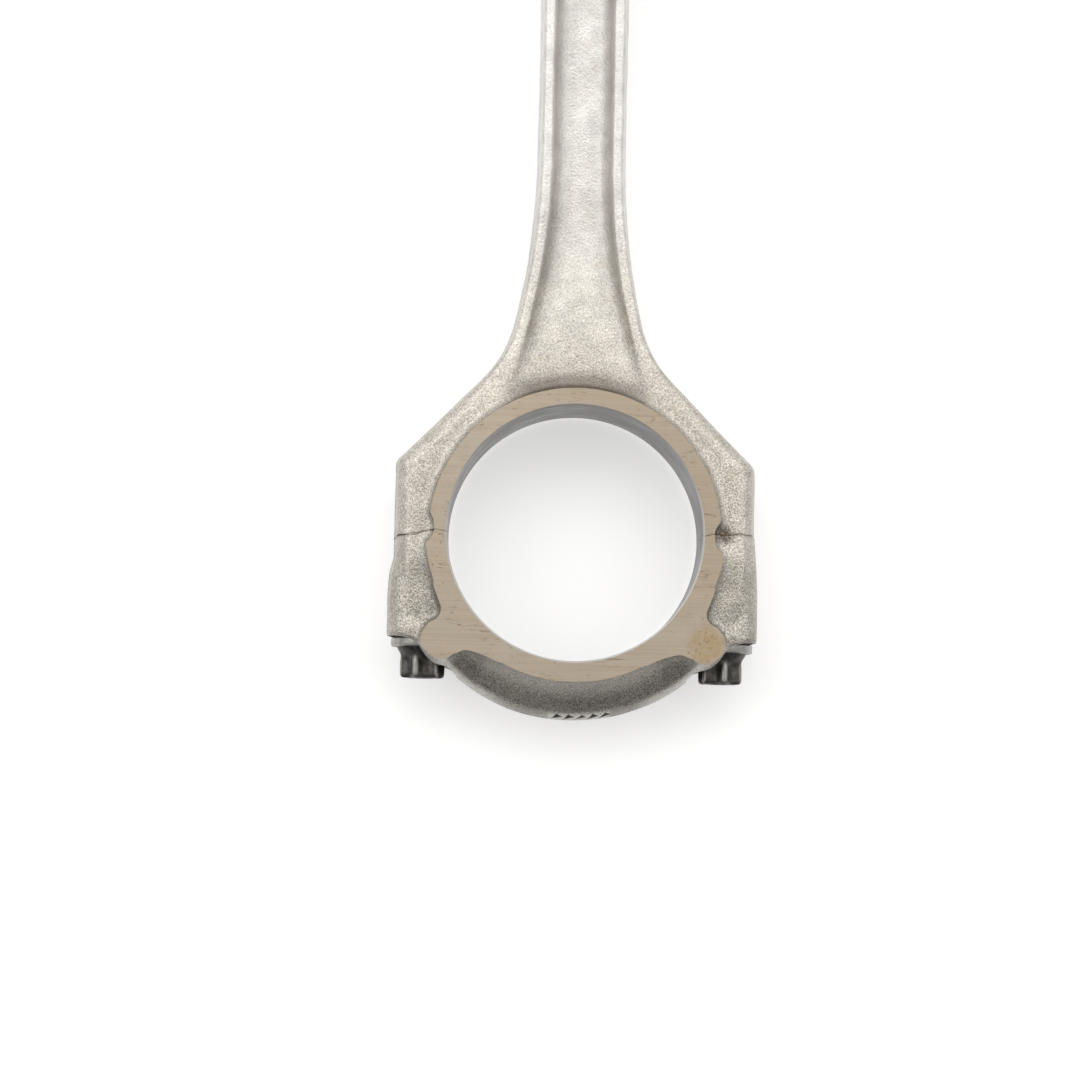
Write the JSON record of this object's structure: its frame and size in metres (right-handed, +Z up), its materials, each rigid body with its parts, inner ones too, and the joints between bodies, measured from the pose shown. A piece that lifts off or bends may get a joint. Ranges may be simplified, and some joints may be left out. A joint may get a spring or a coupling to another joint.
{
  "type": "engine connecting rod",
  "caption": "Forged I-beam connecting rod with a fracture-split big-end cap, two flanged cap bolts and a bushed small end.",
  "frame": {"origin": "middle of the underside of the box round the rod, where it stands on its cap's crown, 37.8 mm below the axis of the big-end bore", "axes": "+Z up the shank to the small end, Y along both bores with the pictured face towards -Y, +X across the cap bolts"},
  "size_m": [0.0762, 0.023, 0.2003],
  "materials": {
    "forged_steel": "shot-peened forging with ground thrust faces and bored big end",
    "bolt_steel": "dark phosphate coating on steel",
    "bronze": "fine-bored bearing bronze"
  },
  "bodies": {
    "rod": {"rod_body": "forged_steel", "small_end_bush": "bronze"},
    "cap": {"big_end_cap": "forged_steel"},
    "bolt_left": {"cap_bolt_left": "bolt_steel"},
    "bolt_right": {"cap_bolt_right": "bolt_steel"}
  },
  "joints": [
    {"name": "cap_slide", "type": "slide", "parent": "rod", "child": "cap", "axis": [0, 0, -1], "range_m": [0, 0.04]},
    {"name": "bolt_left_slide", "type": "slide", "parent": "cap", "child": "bolt_left", "axis": [0, 0, -1], "range_m": [0, 0.036]},
    {"name": "bolt_right_slide", "type": "slide", "parent": "cap", "child": "bolt_right", "axis": [0, 0, -1], "range_m": [0, 0.036]}
  ]
}
